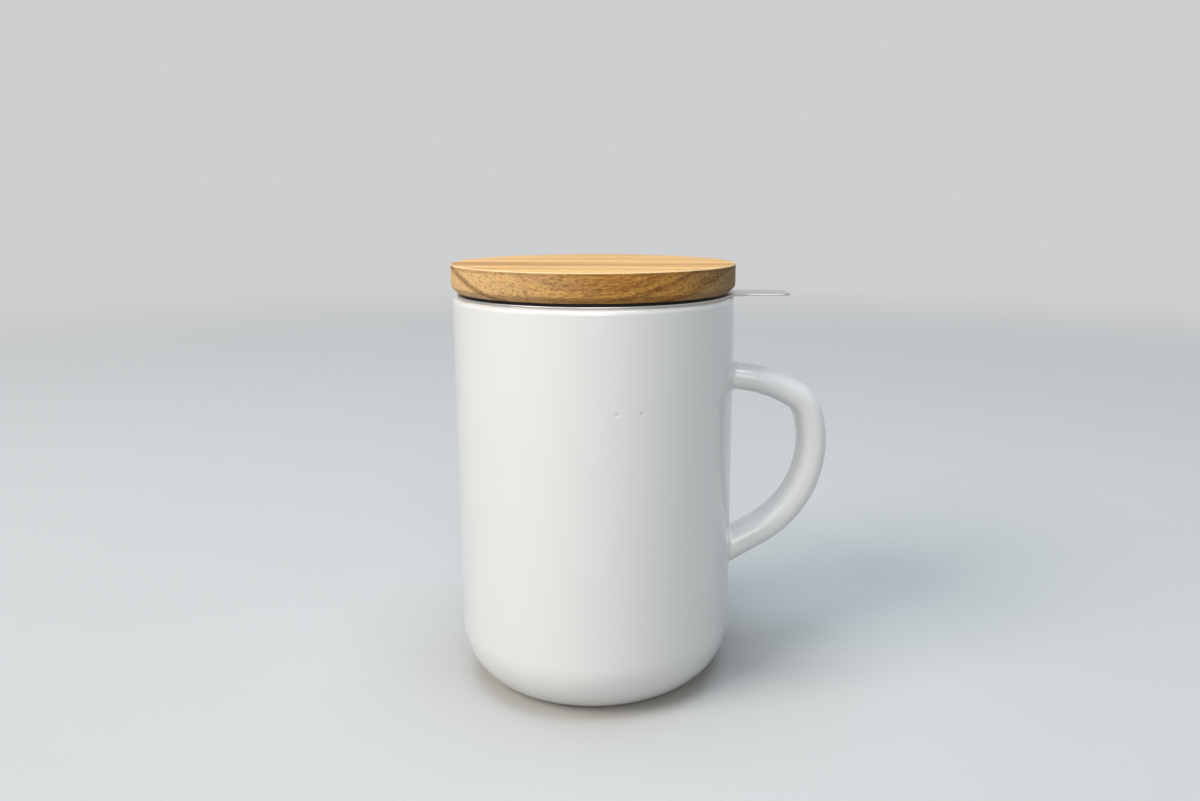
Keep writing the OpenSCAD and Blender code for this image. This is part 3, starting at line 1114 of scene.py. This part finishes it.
def punched_floor(steel, finish):
    """The floor as a bmesh: a punched disc inside a bent, upturned edge."""
    sheet = steel.mesh
    low = steel.tube_low
    top = low + steel.upturn
    outside = steel.tube - sheet
    flat = outside - steel.floor_border
    outer = steel.floor_bend
    bend = (outside - outer, low + outer)
    ease = 0.1 * MM
    bm = disc_tree(finish).run({
        "Hole": steel.hole, "Pitch": steel.pitch, "Thickness": sheet,
        "Count": 2 * int(flat / (steel.pitch * ROW_STEP)) + 1,
        "Radius": flat, "Field": flat - steel.pitch * 0.7, "Low": low, "Border": FLOOR_TURNS,
    })
    edge = [
        (flat, low + sheet),
        *arc(bend, outer - sheet, -90, 0, steps=5),
        (outside - sheet, top - ease),
        (outside - sheet + ease, top),
        (outside - ease, top),
        (outside, top - ease),
        *arc(bend, outer, 0, -90, steps=7),
        (flat, low),
    ]
    loft(bm, [turned_ring(r, z, round_angles(FLOOR_TURNS)) for r, z in edge])
    return bm


# ---------------------------------------------------------------- lid pieces


def board_profile(lid):
    """Outline of the board and its plug, from the plug's middle to the top's middle."""
    under = lid.top - lid.thickness
    lip = lid.seat + lid.plug_reach
    lip_top = lid.plug_low + lid.plug_lip
    ease = 0.3 * MM
    soft = 1.5 * MM
    set_back = soft * tan(radians(45) / 2)
    return [
        (0, lid.plug_low),
        (lip * 0.5, lid.plug_low),
        *arc((lip - ease, lid.plug_low + ease), ease, -90, 0, steps=3),
        *arc((lip - ease, lip_top - ease), ease, 0, 90, steps=3),
        (lid.seat, lip_top),
        (lid.seat, under),
        *arc((lid.radius - lid.bevel - set_back, under + soft), soft, -90, -45, steps=5),
        *arc((lid.radius - soft, under + lid.bevel + set_back), soft, -45, 0, steps=5),
        *arc((lid.radius - lid.ease, lid.top - lid.ease), lid.ease, 0, 90, steps=6),
        (lid.radius * 0.5, lid.top),
        (0, lid.top),
    ]


def seal_profile(seal, lid):
    """Outline of the seal: flange under the board, sleeve round the plug, and tapered fins."""
    inside = lid.seat
    sleeve = lid.seat + seal.sleeve
    under = seal.top - seal.thickness + seal.gap
    ease = 0.2 * MM
    step = (under - seal.low) / seal.fins
    points = [(inside, seal.low), (sleeve, seal.low)]
    for i in range(seal.fins):
        foot = seal.low + i * step
        top = foot + seal.fin_thickness
        points += [
            (seal.fin - ease, foot + ease / 4),
            (seal.fin, foot + ease),
            (seal.fin - ease, foot + 2 * ease),
            (sleeve + ease, top),
        ]
        if i < seal.fins - 1:
            points += [(sleeve, top + ease), (sleeve, foot + step)]
    points += [
        (sleeve, under - ease),
        (sleeve + ease, under),
        (seal.flange - ease, under),
        (seal.flange, under + ease),
        (seal.flange, seal.top - ease),
        (seal.flange - ease, seal.top),
        (inside, seal.top),
    ]
    return points


# ---------------------------------------------------------------- operators


class TEAMUG_OT_mug(bpy.types.Operator):
    """Make the glazed body and its strap handle"""

    bl_idname = "tea_mug.mug"
    bl_label = "Glazed mug"

    def execute(self, context):
        settings = context.scene.tea_mug
        glaze = glaze_finish(settings.mug)
        piece("glazed_body", turned(body_profile(settings.mug)), glaze, "mug", "mug_body")
        handle = StrapHandle(settings.handle, settings.mug).build()
        piece("strap_handle", handle, glaze, "mug", "mug_handle")
        return {"FINISHED"}


class TEAMUG_OT_infuser(bpy.types.Operator):
    """Make the infuser: its pressed rim, perforated tube and perforated floor"""

    bl_idname = "tea_mug.infuser"
    bl_label = "Infuser"

    def execute(self, context):
        steel = context.scene.tea_mug.infuser
        brushed = brushed_finish(steel, "brushed_steel")
        punched = brushed_finish(steel, "perforated_steel")
        piece("pressed_rim", rim_mesh(steel), brushed, "infuser", "infuser_rim")
        piece("perforated_tube", punched_tube(steel, punched), punched, "infuser",
              "infuser_wall")
        piece("perforated_floor", punched_floor(steel, punched), punched, "infuser",
              "infuser_floor")
        return {"FINISHED"}


class TEAMUG_OT_lid(bpy.types.Operator):
    """Make the turned wooden lid"""

    bl_idname = "tea_mug.lid"
    bl_label = "Wooden lid"

    def execute(self, context):
        lid = context.scene.tea_mug.lid
        board = turned(board_profile(lid))
        piece("turned_board", board, wood_finish(lid), "lid", "lid_board")
        return {"FINISHED"}


class TEAMUG_OT_seal(bpy.types.Operator):
    """Make the silicone seal under the lid"""

    bl_idname = "tea_mug.seal"
    bl_label = "Seal"

    def execute(self, context):
        settings = context.scene.tea_mug
        ring = turned(seal_profile(settings.seal, settings.lid), looped=True)
        piece("silicone_ring", ring, silicone_finish(settings.seal), "lid", "lid_seal")
        return {"FINISHED"}


class TEAMUG_OT_studio(bpy.types.Operator):
    """Make the pale floor, the lamps and the camera"""

    bl_idname = "tea_mug.studio"
    bl_label = "Studio"

    def execute(self, context):
        studio = context.scene.tea_mug.studio
        make_floor(studio)
        make_lamps(context.scene, studio)
        make_world(context.scene, studio)
        make_camera(context.scene, studio, context.scene.tea_mug.lid.top)
        context.scene.view_settings.view_transform = "Standard"
        return {"FINISHED"}


FLOOR_SIDES = 96
LAMP_AIM = Vector((0.0, 0.0, 70 * MM))     # a point about half way up the mug
SENSOR = 36.0              # width of the camera's sensor, in millimetres
NEAREST = 10 * MM          # nothing that is closer to the camera is seen


def make_floor(studio):
    """A flat round floor."""
    bm = bmesh.new()
    bmesh.ops.create_circle(bm, cap_ends=True, radius=studio.floor_radius, segments=FLOOR_SIDES)
    floor = finished("floor", bm, floor_finish(studio))


def direction(turn, height):
    """Away from the mug: turned to the right of the camera's side, and up."""
    return Vector((sin(turn) * cos(height), -cos(turn) * cos(height), sin(height)))


def aimed(scene, data, place, view, roll=0.0):
    """A lamp or a camera at a place, looking along view."""
    thing = bpy.data.objects.new(data.name, data)
    aim = view.to_track_quat("-Z", "Y") @ Quaternion((0, 0, 1), roll)
    thing.matrix_world = Matrix.LocRotScale(place, aim, None)
    scene.collection.objects.link(thing)
    return thing


def make_lamps(scene, studio):
    """Three large soft lamps: warm on the left, weaker in front, and cool overhead."""
    for name, power, size, distance, turn, height, tint in (
        ("key_lamp", studio.key, 1.3, 2.5, -58, 38, (1.0, 0.94, 0.87)),
        ("front_lamp", studio.front, 1.5, 2.5, 0, 25, (1.0, 0.99, 0.96)),
        ("top_lamp", studio.top, 1.7, 2.2, 0, 88, (0.70, 0.85, 1.0)),
    ):
        data = bpy.data.lights.new(name, "AREA")
        data.shape = "SQUARE"
        data.size = size
        data.energy = power
        data.color = tint
        away = direction(radians(turn), radians(height))
        aimed(scene, data, LAMP_AIM + away * distance, -away)


def make_world(scene, studio):
    """Even light from everywhere, seen as a pale wall by the camera and in reflections."""
    world = bpy.data.worlds.new("room")
    world.use_nodes = True
    room = ShaderNodes(world.node_tree)
    light, wall = (
        room.made("ShaderNodeBackground", {"Color": tint, "Strength": strength})
        for tint, strength in ((studio.sky, studio.room), (studio.wall, 1.0))
    )
    shown = room.made("ShaderNodeMixShader", {0: room.seen(), 1: light, 2: wall})
    room.add("ShaderNodeOutputWorld", {"Surface": shown})
    scene.world = world


def make_camera(scene, studio, lid_top):
    """The camera stands in front of the mug, slightly above the lid."""
    data = bpy.data.cameras.new("front_view")
    data.sensor_width = SENSOR
    data.lens = studio.lens
    data.shift_x = studio.shift
    data.clip_start = NEAREST
    place = Vector((0, -studio.distance, lid_top + studio.above))
    view = -direction(-studio.yaw, studio.pitch)
    scene.camera = aimed(scene, data, place, view, studio.roll)


class TEAMUG_PT_panel(bpy.types.Panel):
    """The mug's operators and settings"""

    bl_idname = "TEAMUG_PT_panel"
    bl_label = "Tea Mug"
    bl_space_type = "VIEW_3D"
    bl_region_type = "UI"
    bl_category = "Tea Mug"

    def draw(self, context):
        settings = context.scene.tea_mug
        for operator in OPERATORS:
            self.layout.operator(operator.bl_idname)
        for group in TeaMugSettings.__annotations__:
            box = self.layout.box()
            box.label(text=group.title())
            part = getattr(settings, group)
            for name in part.__annotations__:
                box.prop(part, name)


SETTINGS = (MugSettings, HandleSettings, InfuserSettings, LidSettings, SealSettings,
            StudioSettings, TeaMugSettings)
OPERATORS = (TEAMUG_OT_mug, TEAMUG_OT_infuser, TEAMUG_OT_lid, TEAMUG_OT_seal, TEAMUG_OT_studio)
CLASSES = (*SETTINGS, *OPERATORS, TEAMUG_PT_panel)


def register():
    for cls in CLASSES:
        bpy.utils.register_class(cls)
    bpy.types.Scene.tea_mug = PointerProperty(type=TeaMugSettings)


def unregister():
    del bpy.types.Scene.tea_mug
    for cls in reversed(CLASSES):
        bpy.utils.unregister_class(cls)


def main():
    """Makes every piece and the studio."""
    register()
    bpy.ops.tea_mug.mug()
    bpy.ops.tea_mug.infuser()
    bpy.ops.tea_mug.lid()
    bpy.ops.tea_mug.seal()
    bpy.ops.tea_mug.studio()


if __name__ == "__main__":
    main()
